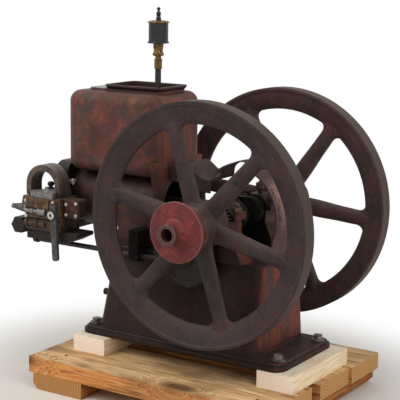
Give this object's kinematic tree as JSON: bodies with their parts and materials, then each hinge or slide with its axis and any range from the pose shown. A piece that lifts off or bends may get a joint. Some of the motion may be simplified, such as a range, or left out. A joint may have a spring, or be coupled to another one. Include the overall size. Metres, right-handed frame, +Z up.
{
  "type": "hit-and-miss engine",
  "caption": "Hopper-cooled hit-and-miss stationary engine with spoked flywheels, box water hopper, magneto and drip oiler, on a timber stand.",
  "frame": {"origin": "on the ground under the middle of the whole object", "axes": "+X along the cylinder towards the crank end, +Y along the crankshaft away from the red hub, +Z up"},
  "size_m": [0.8234, 0.553, 0.872],
  "materials": {
    "timber": "weathered",
    "new_timber": "raw",
    "base_paint": "worn and greasy",
    "hopper_paint": "worn",
    "hub_paint": "faded",
    "wheel_iron": "brown patina",
    "dark_iron": "greasy",
    "rusty_iron": "rusty",
    "bare_steel": "dull",
    "brass": "tarnished",
    "oiler_black": "satin"
  },
  "bodies": {
    "frame": {"bearers": "timber", "deck_boards": "timber", "packing_blocks": "new_timber", "base_casting": "base_paint", "foot_bolts": "bare_steel", "bearing_caps": "base_paint", "cam_stud": "bare_steel", "hopper_casting": "hopper_paint", "cylinder_head": "dark_iron", "valves": "bare_steel", "rocker_arm": "dark_iron", "piston": "bare_steel", "crank_guard": "dark_iron", "oiler_pipe": "brass", "oiler_neck": "brass", "oiler_bowl": "oiler_black", "oiler_knob": "brass", "magneto_body": "rusty_iron", "magnets": "rusty_iron", "top_plate": "bare_steel", "spring_barrel": "bare_steel", "roller": "dark_iron", "magneto_bracket": "dark_iron", "magneto_side_block": "rusty_iron", "terminals": "oiler_black", "push_rod": "dark_iron", "push_rod_guide": "dark_iron"},
    "crank": {"crankshaft": "bare_steel", "flywheel_near": "wheel_iron", "flywheel_far": "wheel_iron", "red_hub": "hub_paint", "crank_gear": "dark_iron"},
    "cam": {"cam_gear": "dark_iron"},
    "rod": {"connecting_rod": "dark_iron", "rod_cap": "dark_iron"},
    "lever": {"trip_lever": "bare_steel"}
  },
  "joints": [
    {"name": "crank_spin", "type": "hinge", "parent": "frame", "child": "crank", "pos_m": [0.145, 0.0265, 0.424], "axis": [0, 1, 0], "continuous": true},
    {"name": "cam_spin", "type": "hinge", "parent": "frame", "child": "cam", "pos_m": [0.07002, 0.0265, 0.34013], "axis": [0, 1, 0], "continuous": true},
    {"name": "rod_swing", "type": "hinge", "parent": "crank", "child": "rod", "pos_m": [0.103, 0.0265, 0.424], "axis": [0, 1, 0], "continuous": true},
    {"name": "lever_swing", "type": "hinge", "parent": "frame", "child": "lever", "pos_m": [-0.261, 0.0265, 0.396], "axis": [0, 1, 0], "range_deg": [-15, 15], "stiffness_Nm_per_rad": 4}
  ],
  "couplings": [
    {"joint": "cam_spin", "follows": "crank_spin", "ratio": -0.5},
    {"joint": "rod_swing", "follows": "crank_spin", "ratio": -1}
  ]
}
